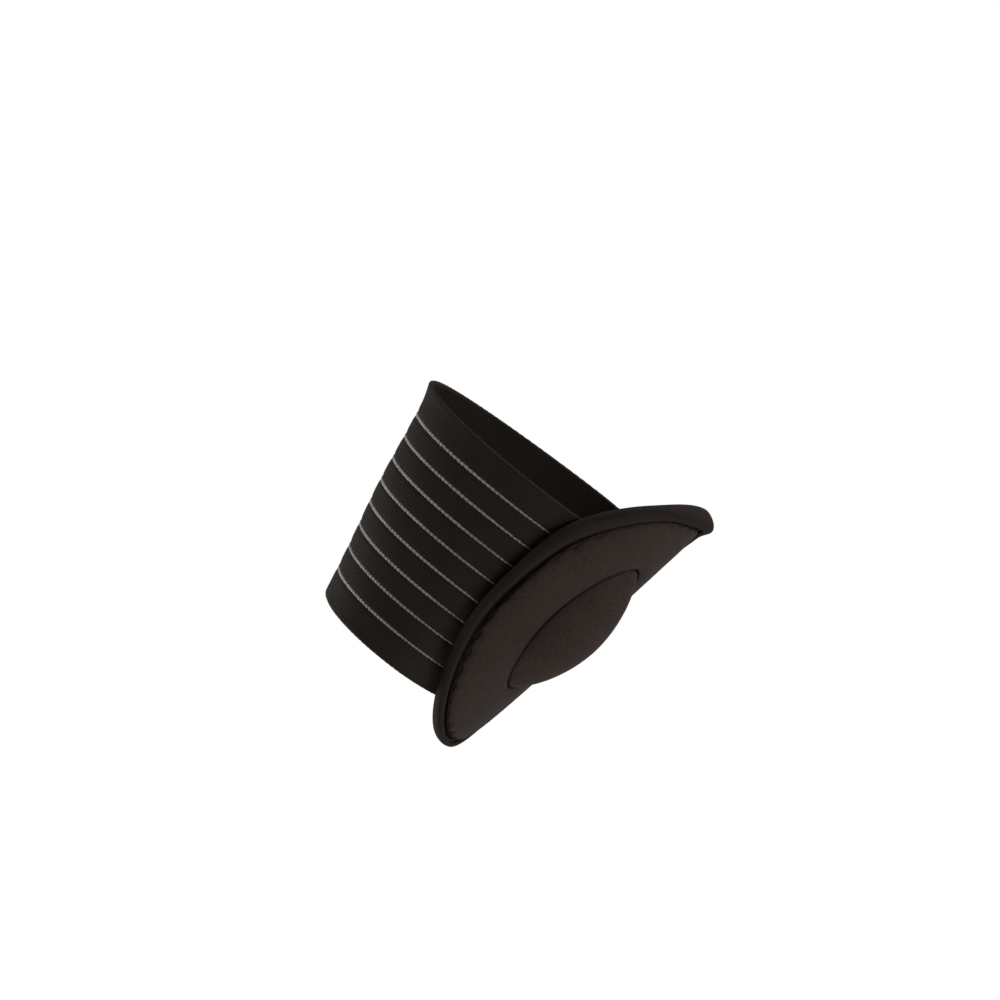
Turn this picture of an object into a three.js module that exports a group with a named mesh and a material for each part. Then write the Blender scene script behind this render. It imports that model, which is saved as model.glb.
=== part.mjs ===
// Arch support: an oval pad with a raised cushion under the arch, held there by a ribbed elastic
// band over the instep. Millimetres, +Z up, +X towards the heel, -Y towards the inner side.
// The origin is on the level of the sole, half way across, at the middle of the pad.

import * as THREE from "three";

// The last: the form that the support is shaped to. Its section across at each x is made of four
// quarter curves through its sole, inner side, crest and outer side.
const SOLE_Y = 8;
const INNER_SIDE = { y: -34.8, z: 29.1, risePerX: 0.096 };
const CREST = { y: -3.8, z: 65.4, risePerX: 0.377 };
const CREST_SWELL = { x: -14, span: 14, height: 0.7 };
const OUTER_SIDE = { y: 37, z: 20 };
// One value for each quarter: sole to inner side, to crest, to outer side, to sole. 2 is an ellipse.
const QUARTER_FULLNESS = [2, 2, 2, 2.4];

// Elastic band, with pale stripes lying in shallow grooves between its ribs
const BAND_WIDTH = 63;
const BAND_X = -9.7;
const BAND_LEAN = 0.188;
const BAND_LEAN_HEIGHT = 30;
const BAND_INNER = 0.1;
const BAND_OUTER = 1.6;
const BAND_EDGE_OUTER = 1.1;
const BAND_EDGE_ROUND = 0.8;
const BAND_TUCK = 8;
const BAND_STATIONS = 46;
const BAND_INNER_COLUMNS = 10;
const GROOVES = 8;
const GROOVE_MARGIN = 8.2;
const GROOVE_HALF_WIDTH = 0.7;
const GROOVE_LIP = 1.45;
const GROOVE_BOTTOM = 1.05;

// Ovals of the pad and its cushion, laid flat. The arc is how far up the inner side their middle lies.
// The pad's middle line bows down at both ends and tilts down to the heel.
const PAD_ARC = 22.5;
const PAD_BOW = 5.5;
const PAD_TILT = 1.5;
const PAD_HALF_LENGTH = 47.4;
const PAD_HALF_WIDTH = 31.4;
const PAD_FULLNESS = { inner: 2.25, outer: 1.85 };
const CUSHION_ARC = 22.9;
const CUSHION_HALF_LENGTH = 22.9;
const CUSHION_HALF_WIDTH = 11.7;
const CUSHION_FULLNESS = { inner: 1.85, outer: 1.85 };
// The pad leaves the last a little at its heel end
const HEEL_LIFT = { x: 25, span: 22, height: 1.6 };
// Its tip is thicker and ends on a slant, both by a share of each point's distance from this offset
const HEEL_TIP = { from: 39, to: PAD_HALF_LENGTH, offset: 3.2, thicken: 0.65, slant: 0.45 };
// The band draws the pad's long edges in where it is sewn to them
const DRAW_IN = { x: -13.5, span: 28, depth: 2.7, sharpness: 4 };
// The rim widens to the heel, between two places given as cosines of the oval's angle
const RIM_SCALE = { toe: 0.7, heel: 1.35, from: -0.15, to: 0.6 };
const PAD_SIDES = 72;
const CUSHION_SIDES = 56;

// Profiles of the ovals. A row is one oval: set in from the pad's edge, or also scaled with its rim, set
// out from the cushion's edge, or a share of the cushion's size. Its offset is how far it is from the last.
const PAD_SEAT = 4.6;
const PAD_INNER = 0.5;
const PAD_PROFILE = [
  { share: 0.5, offset: PAD_SEAT },
  { outset: 0.6, offset: PAD_SEAT },
  { outset: 0.6, offset: 6.0 },
  { outset: 1.1, offset: 6.4 },
  { outset: 3.0, offset: 6.8 },
  { outset: 6.0, offset: 6.8 },
  { rim: 7.6, offset: 6.6 },
  { rim: 5.2, offset: 6.2 },
  { rim: 4.2, offset: 5.6 },
  { rim: 4.2, offset: 4.9 },
  { rim: 1.4, offset: 4.9 },
  { rim: 1.4, offset: 3.2 },
  { rim: 4.9, offset: 3.2 },
  { rim: 4.9, offset: 1.9 },
  { inset: 10.0, offset: 1.9 },
  { inset: 14.0, offset: 0.7 },
  { share: 0.6, offset: PAD_INNER },
];

const CUSHION_BOTTOM = 4.9;
const CUSHION_BASE = 6.2;
const CUSHION_RISE = 8;
const CUSHION_ROUNDING = 0.87;
const CUSHION_SHARES = [0.24, 0.46, 0.64, 0.78, 0.88, 0.95, 0.99];

const BINDING_PROFILE = [
  { rim: 2.9, offset: 5.2 },
  { rim: 2.9, offset: 5.7 },
  { rim: 2.5, offset: 6.1 },
  { rim: 1.6, offset: 6.2 },
  { rim: 0.7, offset: 5.8 },
  { rim: 0.1, offset: 4.9 },
  { rim: 0.0, offset: 3.4 },
  { rim: 0.5, offset: 2.3 },
  { rim: 1.5, offset: 1.9 },
  { rim: 4.6, offset: 1.9 },
  { rim: 4.6, offset: 2.9 },
  { rim: 1.0, offset: 2.9 },
  { rim: 1.0, offset: 5.2 },
];

const lerp = THREE.MathUtils.lerp;

// The last

function keyPoints(x) {
  const swell = CREST_SWELL.height * Math.exp(-(((x - CREST_SWELL.x) / CREST_SWELL.span) ** 2));
  return [
    { y: SOLE_Y, z: 0 },
    { y: INNER_SIDE.y, z: INNER_SIDE.z + INNER_SIDE.risePerX * x },
    { y: CREST.y, z: CREST.z + CREST.risePerX * x + swell },
    { y: OUTER_SIDE.y, z: OUTER_SIDE.z },
  ];
}

// A turn of 0 is the sole, 1 the inner side, 2 the crest, 3 the outer side and 4 the sole again.
function sectionPoint(x, turn) {
  const quarters = QUARTER_FULLNESS.length;
  const wrapped = ((turn % quarters) + quarters) % quarters;
  const quarter = Math.floor(wrapped);
  const angle = (wrapped - quarter) * (Math.PI / 2);
  const power = 2 / QUARTER_FULLNESS[quarter];
  const early = Math.sin(angle) ** power;
  const late = 1 - Math.cos(angle) ** power;
  const keys = keyPoints(x);
  const start = keys[quarter];
  const end = keys[(quarter + 1) % quarters];
  const startsLevel = quarter % 2 === 0;
  return {
    y: lerp(start.y, end.y, startsLevel ? early : late),
    z: lerp(start.z, end.z, startsLevel ? late : early),
  };
}

function formPoint(x, turn, offset) {
  const step = 0.004;
  const before = sectionPoint(x, turn - step);
  const after = sectionPoint(x, turn + step);
  const here = sectionPoint(x, turn);
  const length = Math.hypot(after.y - before.y, after.z - before.z);
  const outY = -(after.z - before.z) / length;
  const outZ = (after.y - before.y) / length;
  return new THREE.Vector3(x, here.y + outY * offset, here.z + outZ * offset);
}

// Lengths along the section at x from the sole, positive up the inner side and negative up the outer
const arcTables = new Map();

function arcTable(x) {
  const key = x.toFixed(4);
  if (!arcTables.has(key)) arcTables.set(key, makeArcTable(x));
  return arcTables.get(key);
}

function makeArcTable(x) {
  const firstTurn = -1;
  const lastTurn = 2;
  const steps = 360;
  const rows = [];
  let length = 0;
  let last = null;
  for (let i = 0; i <= steps; i++) {
    const turn = lerp(firstTurn, lastTurn, i / steps);
    const point = sectionPoint(x, turn);
    if (last) length += Math.hypot(point.y - last.y, point.z - last.z);
    rows.push({ turn, length });
    last = point;
  }
  const soleLength = rows[(steps * -firstTurn) / (lastTurn - firstTurn)].length;
  return rows.map((row) => ({ turn: row.turn, arc: row.length - soleLength }));
}

function interpolate(rows, from, to, value) {
  const found = rows.findIndex((row) => row[from] >= value);
  const above = found < 0 ? rows.length - 1 : Math.max(found, 1);
  const a = rows[above - 1];
  const b = rows[above];
  return lerp(a[to], b[to], (value - a[from]) / (b[from] - a[from]));
}

const turnAtArc = (x, arc) => interpolate(arcTable(x), "arc", "turn", arc);
const arcAtTurn = (x, turn) => interpolate(arcTable(x), "turn", "arc", turn);

// Closed meshes from rings of points

function ringMesh(rings, ends) {
  const sides = rings[0].length;
  const points = rings.flat();
  const faces = [];
  const rows = ends === "joined" ? rings.length : rings.length - 1;
  for (let row = 0; row < rows; row++) {
    const here = row * sides;
    const next = ((row + 1) % rings.length) * sides;
    for (let i = 0; i < sides; i++) {
      const j = (i + 1) % sides;
      faces.push(here + i, here + j, next + j, here + i, next + j, next + i);
    }
  }
  return { points, faces, sides };
}

function closeWithPoint(mesh, firstIndex, point, atStart) {
  const tip = mesh.points.push(point) - 1;
  for (let i = 0; i < mesh.sides; i++) {
    const a = firstIndex + i;
    const b = firstIndex + ((i + 1) % mesh.sides);
    mesh.faces.push(...(atStart ? [tip, b, a] : [tip, a, b]));
  }
}

function closeFlat(mesh, firstIndex, atStart) {
  const corners = mesh.points.slice(firstIndex, firstIndex + mesh.sides);
  const opposite = corners[Math.floor(mesh.sides / 2)];
  const axis = new THREE.Vector3().subVectors(corners[0], opposite).normalize();
  const across = new THREE.Vector3();
  for (const corner of corners) across.add(corner.clone().sub(corners[0]).projectOnPlane(axis));
  across.normalize();
  const flat = corners.map((corner) => new THREE.Vector2(corner.dot(axis), corner.dot(across)));
  const turnsLeft = THREE.ShapeUtils.area(flat) > 0;
  for (const face of THREE.ShapeUtils.triangulateShape(flat, [])) {
    const [a, b, c] = face.map((index) => firstIndex + index);
    mesh.faces.push(...(turnsLeft === atStart ? [a, c, b] : [a, b, c]));
  }
}

function geometryOf(mesh) {
  const geometry = new THREE.BufferGeometry().setFromPoints(mesh.points);
  geometry.setIndex(mesh.faces);
  geometry.computeVertexNormals();
  return geometry;
}

// Oval rings on the last, for the pad, its cushion and its binding

function padMiddle(x) {
  const share = x / PAD_HALF_LENGTH;
  return PAD_ARC - PAD_BOW * share ** 2 - PAD_TILT * share;
}

function padHalfWidth(x) {
  const fromMiddle = (x - DRAW_IN.x) / DRAW_IN.span;
  return PAD_HALF_WIDTH - DRAW_IN.depth * Math.exp(-(fromMiddle ** DRAW_IN.sharpness));
}

function rimScale(angle) {
  const towardsHeel = THREE.MathUtils.smoothstep(Math.cos(angle), RIM_SCALE.from, RIM_SCALE.to);
  return lerp(RIM_SCALE.toe, RIM_SCALE.heel, towardsHeel);
}

// Sizes of a row's oval, and its half width and middle line at x
function ovalOf(row, angle) {
  if ("share" in row || "outset" in row) {
    const share = row.share ?? 1;
    const outset = row.outset ?? 0;
    return {
      halfLength: CUSHION_HALF_LENGTH * share + outset,
      halfWidth: () => CUSHION_HALF_WIDTH * share + outset,
      fullness: CUSHION_FULLNESS,
      middle: () => CUSHION_ARC,
    };
  }
  const inset = row.inset ?? row.rim * rimScale(angle);
  return {
    halfLength: PAD_HALF_LENGTH - inset,
    halfWidth: (x) => padHalfWidth(x) - inset,
    fullness: PAD_FULLNESS,
    middle: padMiddle,
  };
}

function ovalPoint(x, arc, offset) {
  const pastStart = Math.max(0, (x - HEEL_LIFT.x) / HEEL_LIFT.span);
  const lift = HEEL_LIFT.height * pastStart ** 2;
  const atTip = THREE.MathUtils.smoothstep(x, HEEL_TIP.from, HEEL_TIP.to) * (offset - HEEL_TIP.offset);
  const slantedX = x - HEEL_TIP.slant * atTip;
  return formPoint(slantedX, turnAtArc(slantedX, arc), offset + lift + HEEL_TIP.thicken * atTip);
}

function ovalRing(row, sides) {
  const bend = (value, power) => Math.sign(value) * Math.abs(value) ** power;
  const ring = [];
  for (let i = 0; i < sides; i++) {
    const angle = (-2 * Math.PI * i) / sides;
    const oval = ovalOf(row, angle);
    const power = 2 / oval.fullness[Math.sin(angle) < 0 ? "outer" : "inner"];
    const x = oval.halfLength * bend(Math.cos(angle), power);
    const arc = oval.middle(x) + oval.halfWidth(x) * bend(Math.sin(angle), power);
    ring.push(ovalPoint(x, arc, row.offset));
  }
  return ring;
}

function domedSolid(profile, sides, firstOffset, lastOffset) {
  const mesh = ringMesh(profile.map((row) => ovalRing(row, sides)), "open");
  closeWithPoint(mesh, 0, ovalPoint(0, CUSHION_ARC, firstOffset), true);
  closeWithPoint(mesh, (profile.length - 1) * sides, ovalPoint(0, CUSHION_ARC, lastOffset), false);
  return geometryOf(mesh);
}

function padGeometry() {
  return domedSolid(PAD_PROFILE, PAD_SIDES, PAD_SEAT, PAD_INNER);
}

function cushionGeometry() {
  const height = (share) => CUSHION_BASE + CUSHION_RISE * (1 - share ** 2) ** CUSHION_ROUNDING;
  const profile = CUSHION_SHARES.map((share) => ({ share, offset: height(share) }));
  profile.push({ share: 1, offset: CUSHION_BASE });
  profile.push({ share: 1, offset: CUSHION_BOTTOM });
  profile.push({ share: 0.5, offset: CUSHION_BOTTOM });
  return domedSolid(profile, CUSHION_SIDES, height(0), CUSHION_BOTTOM);
}

function bindingGeometry() {
  return geometryOf(ringMesh(BINDING_PROFILE.map((row) => ovalRing(row, PAD_SIDES)), "joined"));
}

// Elastic band

// Where the line at this distance from the middle of the band crosses the last at this turn
function bandX(across, turn) {
  let x = BAND_X + across;
  const settles = 6;
  for (let i = 0; i < settles; i++) {
    x = BAND_X + across - BAND_LEAN * (sectionPoint(x, turn).z - BAND_LEAN_HEIGHT);
  }
  return x;
}

function insideTuck(across, turn) {
  const x = bandX(across, turn);
  const arc = arcAtTurn(x, turn > 2 ? turn - QUARTER_FULLNESS.length : turn);
  const fullness = PAD_FULLNESS[arc < padMiddle(x) ? "outer" : "inner"];
  const alongShare = Math.abs(x) / (PAD_HALF_LENGTH - BAND_TUCK);
  const acrossShare = Math.abs(arc - padMiddle(x)) / (padHalfWidth(x) - BAND_TUCK);
  return alongShare ** fullness + acrossShare ** fullness < 1;
}

// The turn where the line runs in under the pad, walking on from a turn that is clear of it
function tuckTurn(across, clearTurn, underTurn) {
  let clear = clearTurn;
  let under = underTurn;
  const halvings = 24;
  for (let i = 0; i < halvings; i++) {
    const middle = (clear + under) / 2;
    if (insideTuck(across, middle)) under = middle;
    else clear = middle;
  }
  return under;
}

function grooveCentres() {
  const pitch = (BAND_WIDTH - 2 * GROOVE_MARGIN) / (GROOVES - 1);
  return Array.from({ length: GROOVES }, (_, i) => GROOVE_MARGIN + pitch * i - BAND_WIDTH / 2);
}

// Cross profile of the band: its ribbed outer face, then its plain inner face on the way back
function bandProfile() {
  const half = BAND_WIDTH / 2;
  const profile = [
    { across: -half, offset: BAND_EDGE_OUTER },
    { across: -half + BAND_EDGE_ROUND, offset: GROOVE_LIP },
  ];
  let ribStart = -half + BAND_EDGE_ROUND;
  for (const centre of grooveCentres()) {
    profile.push({ across: (ribStart + centre - GROOVE_HALF_WIDTH) / 2, offset: BAND_OUTER });
    profile.push({ across: centre - GROOVE_HALF_WIDTH, offset: GROOVE_LIP });
    profile.push({ across: centre, offset: GROOVE_BOTTOM });
    profile.push({ across: centre + GROOVE_HALF_WIDTH, offset: GROOVE_LIP });
    ribStart = centre + GROOVE_HALF_WIDTH;
  }
  profile.push({ across: (ribStart + half - BAND_EDGE_ROUND) / 2, offset: BAND_OUTER });
  profile.push({ across: half - BAND_EDGE_ROUND, offset: GROOVE_LIP });
  profile.push({ across: half, offset: BAND_EDGE_OUTER });
  for (let i = 0; i < BAND_INNER_COLUMNS; i++) {
    profile.push({ across: lerp(half, -half, i / (BAND_INNER_COLUMNS - 1)), offset: BAND_INNER });
  }
  return profile;
}

function bandGeometry() {
  const underPad = 0.3;
  const innerInstep = 1.6;
  const outerSide = 3;
  const lines = bandProfile().map((column) => ({
    ...column,
    first: tuckTurn(column.across, innerInstep, underPad),
    last: tuckTurn(column.across, outerSide, underPad + QUARTER_FULLNESS.length),
  }));
  const rings = [];
  for (let i = 0; i < BAND_STATIONS; i++) {
    rings.push(lines.map((line) => {
      const turn = lerp(line.first, line.last, i / (BAND_STATIONS - 1));
      return formPoint(bandX(line.across, turn), turn, line.offset);
    }));
  }
  const mesh = ringMesh(rings, "open");
  closeFlat(mesh, 0, true);
  closeFlat(mesh, (BAND_STATIONS - 1) * mesh.sides, false);
  return geometryOf(mesh);
}

// Materials and assembly

function piece(name, geometry, material) {
  const mesh = new THREE.Mesh(geometry, new THREE.MeshStandardMaterial(material));
  mesh.name = name;
  return mesh;
}

const support = new THREE.Group();
support.name = "arch_support";
support.add(
  piece("elastic_band", bandGeometry(), { color: 0x221e1b, roughness: 0.9, metalness: 0 }),
  piece("arch_pad", padGeometry(), { color: 0x332c28, roughness: 0.55, metalness: 0 }),
  piece("arch_cushion", cushionGeometry(), { color: 0x35302c, roughness: 0.5, metalness: 0 }),
  piece("edge_binding", bindingGeometry(), { color: 0x1f1c19, roughness: 0.85, metalness: 0 }),
);

export default support;
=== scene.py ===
import math

import bpy
import numpy as np
from mathutils import Matrix, Vector


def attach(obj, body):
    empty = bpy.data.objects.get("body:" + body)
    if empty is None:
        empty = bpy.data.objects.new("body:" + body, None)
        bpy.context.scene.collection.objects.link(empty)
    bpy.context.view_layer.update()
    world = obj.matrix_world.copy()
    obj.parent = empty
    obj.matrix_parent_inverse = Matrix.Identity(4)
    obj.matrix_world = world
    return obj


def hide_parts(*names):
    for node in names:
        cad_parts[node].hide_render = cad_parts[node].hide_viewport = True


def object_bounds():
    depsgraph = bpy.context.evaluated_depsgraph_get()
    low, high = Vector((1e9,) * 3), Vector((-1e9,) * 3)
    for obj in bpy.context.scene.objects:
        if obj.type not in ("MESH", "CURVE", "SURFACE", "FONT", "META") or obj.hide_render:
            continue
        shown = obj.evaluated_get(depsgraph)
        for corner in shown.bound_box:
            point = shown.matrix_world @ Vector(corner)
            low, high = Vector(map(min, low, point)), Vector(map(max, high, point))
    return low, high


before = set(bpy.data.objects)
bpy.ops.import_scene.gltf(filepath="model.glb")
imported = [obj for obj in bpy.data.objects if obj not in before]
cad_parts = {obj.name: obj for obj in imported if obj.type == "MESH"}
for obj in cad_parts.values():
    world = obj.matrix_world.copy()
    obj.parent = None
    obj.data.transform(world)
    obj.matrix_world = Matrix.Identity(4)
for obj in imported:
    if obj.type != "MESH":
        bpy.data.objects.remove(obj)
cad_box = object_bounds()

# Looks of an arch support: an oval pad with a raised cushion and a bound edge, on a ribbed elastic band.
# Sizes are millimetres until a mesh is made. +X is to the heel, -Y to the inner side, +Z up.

MM = 0.001
TAU = 2 * math.pi
# Millimetres to the unit in the layer where each piece is laid out flat
UV_SPAN = 300.0

# The last: the form that the support is shaped to
SOLE_Y = 8.0
INNER_SIDE = {"y": -34.8, "z": 29.1, "rise": 0.096}
CREST = {"y": -3.8, "z": 65.4, "rise": 0.377}
CREST_SWELL = {"x": -14.0, "span": 14.0, "height": 0.7}
OUTER_SIDE = {"y": 37.0, "z": 20.0}
QUARTER_FULLNESS = np.array([2.0, 2.0, 2.0, 2.4])
QUARTERS = len(QUARTER_FULLNESS)

# Elastic band
BAND_WIDTH = 63.0
BAND_X = -9.7
BAND_LEAN = 0.188
BAND_LEAN_HEIGHT = 30.0
BAND_INNER = 0.1
BAND_OUTER = 1.6
BAND_MIDDLE = 0.85
BAND_EDGE_ROUND = 0.9
BAND_TUCK = 8.0
BAND_COLUMNS = 190
BAND_STATIONS = 200
GROOVES = 8
GROOVE_MARGIN = 8.2
GROOVE_PITCH = (BAND_WIDTH - 2 * GROOVE_MARGIN) / (GROOVES - 1)
GROOVE_BOTTOM = 1.0
RIB_SQUARENESS = 4
SCALLOP = {"length": 1.7, "depth": 0.05, "width": 1.2}
# Places round the last, as turns: a clear one on each side of the pad, one under it, and the crest
INNER_INSTEP_TURN = 1.6
OUTER_SIDE_TURN = 3.0
UNDER_PAD_TURN = 0.3
CREST_TURN = 2.0
# The heel edge rolls out at the crest
FLARE = {"width": 6.0, "height": 1.0, "spread": 0.5}

# Pale yarns in the grooves
YARN_HALF_WIDTH = 0.52
YARN_HALF_HEIGHT = 0.3
YARN_CENTRE = 1.2
YARN_STITCH = 1.4
YARN_SWELL = 0.18
YARN_SWAY = 0.03
YARN_END_SHARE = 0.55
# Painted shade on each yarn towards its ends, near the pad's rim: the share of its colour kept there, and
# the distances from an end between which that grows to all of it
YARN_END_SHADE = {"from": 8.0, "to": 34.0, "share": 0.55}
YARN_STATIONS = 620
YARN_SIDES = 8

# Ovals of the pad and its cushion, laid flat
PAD_ARC = 22.5
PAD_BOW = 5.5
PAD_TILT = 1.5
PAD_HALF_LENGTH = 47.4
PAD_HALF_WIDTH = 31.4
PAD_FULLNESS = {"inner": 2.25, "outer": 1.85}
CUSHION_ARC = 22.9
CUSHION_HALF_LENGTH = 22.9
CUSHION_HALF_WIDTH = 11.7
CUSHION_FULLNESS = 1.85
# The pad leaves the last a little at its heel end. Its tip is thicker and ends on a slant, both by a
# share of each point's distance from an offset.
HEEL_LIFT = {"x": 25.0, "span": 22.0, "height": 1.6}
HEEL_TIP = {"from": 39.0, "to": PAD_HALF_LENGTH, "offset": 3.2, "thicken": 0.65, "slant": 0.45}
# The band draws the pad's long edges in where it is sewn to them
DRAW_IN = {"x": -13.5, "span": 28.0, "depth": 2.7, "sharpness": 4}
# The rim widens to the heel, between two places given as cosines of the oval's angle
RIM_SCALE = {"toe": 0.7, "heel": 1.35, "from": -0.15, "to": 0.6}
OVAL_SIDES = 240
SEAM_SIDES = 1440

# A row is one oval: set in from the pad's edge by parts that do and do not scale with its rim, or set out
# from the cushion's edge, or a share of the cushion's size. Its offset is its distance from the last. The
# corners of a profile are rounded by cutting them at this share of their sides.
CORNER_CUT = 0.25
PAD_SEAT = 4.6
PAD_INNER = 0.5
CREASE = {"rim": 2.6, "inset": 1.5}
CREASE_BOTTOM = {"rim": 2.7, "inset": 0.75}
PAD_PROFILE = [
    {"share": 0.5, "offset": PAD_SEAT},
    {"outset": 0.6, "offset": PAD_SEAT},
    {"outset": 0.6, "offset": 6.0},
    {"outset": 1.1, "offset": 6.4},
    {"outset": 3.0, "offset": 6.8},
    {"outset": 6.0, "offset": 6.8},
    {"rim": 7.6, "offset": 6.6},
    {"rim": 5.2, "offset": 6.2},
    {**CREASE, "offset": 5.6},
    {**CREASE, "offset": 4.2},
    {**CREASE_BOTTOM, "offset": 3.7},
    {"rim": 2.9, "offset": 4.9},
    {"rim": 1.4, "offset": 4.9},
    {"rim": 1.4, "offset": 3.2},
    {"rim": 4.9, "offset": 3.2},
    {"rim": 4.9, "offset": 1.9},
    {"inset": 10.0, "offset": 1.9},
    {"inset": 14.0, "offset": 0.7},
    {"share": 0.6, "offset": PAD_INNER},
]
BINDING_PROFILE = [
    {"rim": 2.9, "offset": 5.2},
    {"rim": 2.9, "offset": 5.7},
    {"rim": 2.5, "offset": 6.1},
    {"rim": 1.6, "offset": 6.2},
    {"rim": 0.7, "offset": 5.8},
    {"rim": 0.1, "offset": 4.9},
    {"rim": 0.0, "offset": 3.4},
    {"rim": 0.5, "offset": 2.3},
    {"rim": 1.5, "offset": 1.9},
    {"rim": 4.6, "offset": 1.9},
    {"rim": 4.6, "offset": 2.9},
    {"rim": 1.0, "offset": 2.9},
    {"rim": 1.0, "offset": 5.2},
]
CUSHION_BOTTOM = 4.9
CUSHION_BASE = 6.2
CUSHION_EDGE_DROP = 0.6
CUSHION_RISE = 8.0
CUSHION_ROUNDING = 0.87
# Rows of the dome lie closer together towards its edge, and start this share of the way out
CUSHION_ROWS = 30
CUSHION_FIRST_ROW = 0.04

# The panel is the pad's outer face, above an offset. It has slow waves, which grow to full height over
# the span, and puckers along its seam, which come in weak and strong spells and drift from even spacing.
PANEL_FROM = {"offset": 5.2, "span": 0.6}
PANEL_WAVE = {"height": 0.05, "x": 7.3, "x_start": 0.6, "arc": 6.1, "arc_start": 1.1}
SLANT_WAVE = {"height": 0.03, "x": 4.1, "arc": 5.3}
PUCKER = {"count": 43, "depth": 0.4, "pull": 0.75, "reach": 1.8}
PUCKER_SPELL = {"count": 7, "change": 0.35}
PUCKER_DRIFT = {"count": 3, "turn": 1.5}

# Thread of the seams
THREAD_RADIUS = 0.2
STITCH_PITCH = 3.0
STITCH_LENGTH = 2.3
STITCH_LIFT = 0.12
STITCH_END_SHARE = 0.3
STITCH_STATIONS = 7
STITCH_SIDES = 6
OUTER_SEAM = {**CREASE_BOTTOM, "offset": 4.2}
INNER_SEAM = {"rim": 3.4, "offset": 1.9}
END_SEAM = {"from_end": 2.2, "width": 2.6, "pitch": 2.2, "margin": 2.0}

# Camera, set to the photograph's viewing angle
CAMERA_TARGET = Vector((0.0, 0.0, 25.0)) * MM
CAMERA_AZIMUTH = math.radians(7.08)
CAMERA_ELEVATION = math.radians(2.09)
CAMERA_ROLL = math.radians(-42.15)
CAMERA_DISTANCE = 1500 * MM
CAMERA_LENS = 200
CAMERA_CLIP = {"start": 0.05, "end": 20.0}
IMAGE_SIDE = 1000
PIXEL = 0.27 * MM
TARGET_PIXEL = (511.0, 548.9)

# Lights aimed at the camera's target, with places and sizes in metres and power in watts
LIGHTS = [
    {"name": "top", "place": (-0.45, 0.1, 1.0), "size": 0.6, "power": 7.4},
    {"name": "heel", "place": (0.77, -0.55, -0.5), "size": 0.4, "power": 6.2},
    {"name": "toe", "place": (-0.93, -0.47, -0.35), "size": 0.4, "power": 4.7},
    {"name": "back_heel", "place": (1.1, 0.7, 0.5), "size": 0.6, "power": 12.0},
    {"name": "back_toe", "place": (-1.1, 0.7, 0.5), "size": 0.6, "power": 10.0},
]
WORLD_LIGHT = {"near_side": 0.13, "far_side": 0.42}

# Floor
FLOOR_DROP = 700.0
FLOOR_RADIUS = 1000.0
FLOOR_SOLID_RADIUS = 250.0
FLOOR_SIDES = 96
FLOOR_SHADE = 0.9


# The last

def crest_height(x):
    swell = np.exp(-((x - CREST_SWELL["x"]) / CREST_SWELL["span"]) ** 2)
    return CREST["z"] + CREST["rise"] * x + CREST_SWELL["height"] * swell


def section(x, turn):
    """Points (y, z) at x. A turn of 0 is the sole, 1 the inner side, 2 the crest, 3 the outer side."""
    x, turn = np.broadcast_arrays(np.asarray(x, float), np.asarray(turn, float))
    wrapped = np.mod(turn, QUARTERS)
    quarter = np.minimum(wrapped.astype(int), QUARTERS - 1)
    angle = (wrapped - quarter) * (math.pi / 2)
    power = 2 / QUARTER_FULLNESS[quarter]
    early = np.abs(np.sin(angle)) ** power
    late = 1 - np.abs(np.cos(angle)) ** power
    key_y = np.array([SOLE_Y, INNER_SIDE["y"], CREST["y"], OUTER_SIDE["y"]])
    inner_height = INNER_SIDE["z"] + INNER_SIDE["rise"] * x
    key_z = np.stack([0 * x, inner_height, crest_height(x), OUTER_SIDE["z"] + 0 * x])
    after = (quarter + 1) % QUARTERS
    start_z = np.take_along_axis(key_z, quarter[None], 0)[0]
    end_z = np.take_along_axis(key_z, after[None], 0)[0]
    starts_level = quarter % 2 == 0
    along_y = np.where(starts_level, early, late)
    along_z = np.where(starts_level, late, early)
    y = key_y[quarter] + (key_y[after] - key_y[quarter]) * along_y
    return y, start_z + (end_z - start_z) * along_z


def outward(x, turn):
    """Directions (y, z) that point out of the last."""
    step = 0.004
    y0, z0 = section(x, turn - step)
    y1, z1 = section(x, turn + step)
    length = np.hypot(y1 - y0, z1 - z0)
    return -(z1 - z0) / length, (y1 - y0) / length


def on_last(x, turn, offset):
    """Points at this distance out from the last."""
    y, z = section(x, turn)
    out_y, out_z = outward(x, turn)
    return np.stack([x + 0 * y, y + out_y * offset, z + out_z * offset], -1)


# Lengths along the section from the sole, positive up the inner side
ARC_TURNS = np.linspace(-1, 2, 601)
ARC_X = np.linspace(-60, 60, 49)


def arc_row(x):
    y, z = section(x, ARC_TURNS)
    lengths = np.concatenate([[0], np.cumsum(np.hypot(np.diff(y), np.diff(z)))])
    return lengths - np.interp(0, ARC_TURNS, lengths)


ARC_ROWS = np.array([arc_row(x) for x in ARC_X])


def between_rows(x, look_up):
    """Values looked up in the two arc rows next to each x, and mixed by how near they are."""
    place = np.clip((x - ARC_X[0]) / (ARC_X[1] - ARC_X[0]), 0, len(ARC_X) - 1)
    row = np.minimum(place.astype(int), len(ARC_X) - 2)
    share = place - row
    found = np.empty(x.shape)
    for i in np.unique(row):
        at = row == i
        found[at] = look_up(i, at) * (1 - share[at]) + look_up(i + 1, at) * share[at]
    return found


def turn_at_arc(x, arc):
    return between_rows(x, lambda i, at: np.interp(arc[at], ARC_ROWS[i], ARC_TURNS))


def arc_at_turn(x, turn):
    return between_rows(x, lambda i, at: np.interp(turn[at], ARC_TURNS, ARC_ROWS[i]))


# Meshes

def lengths_along(points):
    steps = np.linalg.norm(np.diff(points, axis=0), axis=1)
    return np.concatenate([[0], np.cumsum(steps)])


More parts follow.
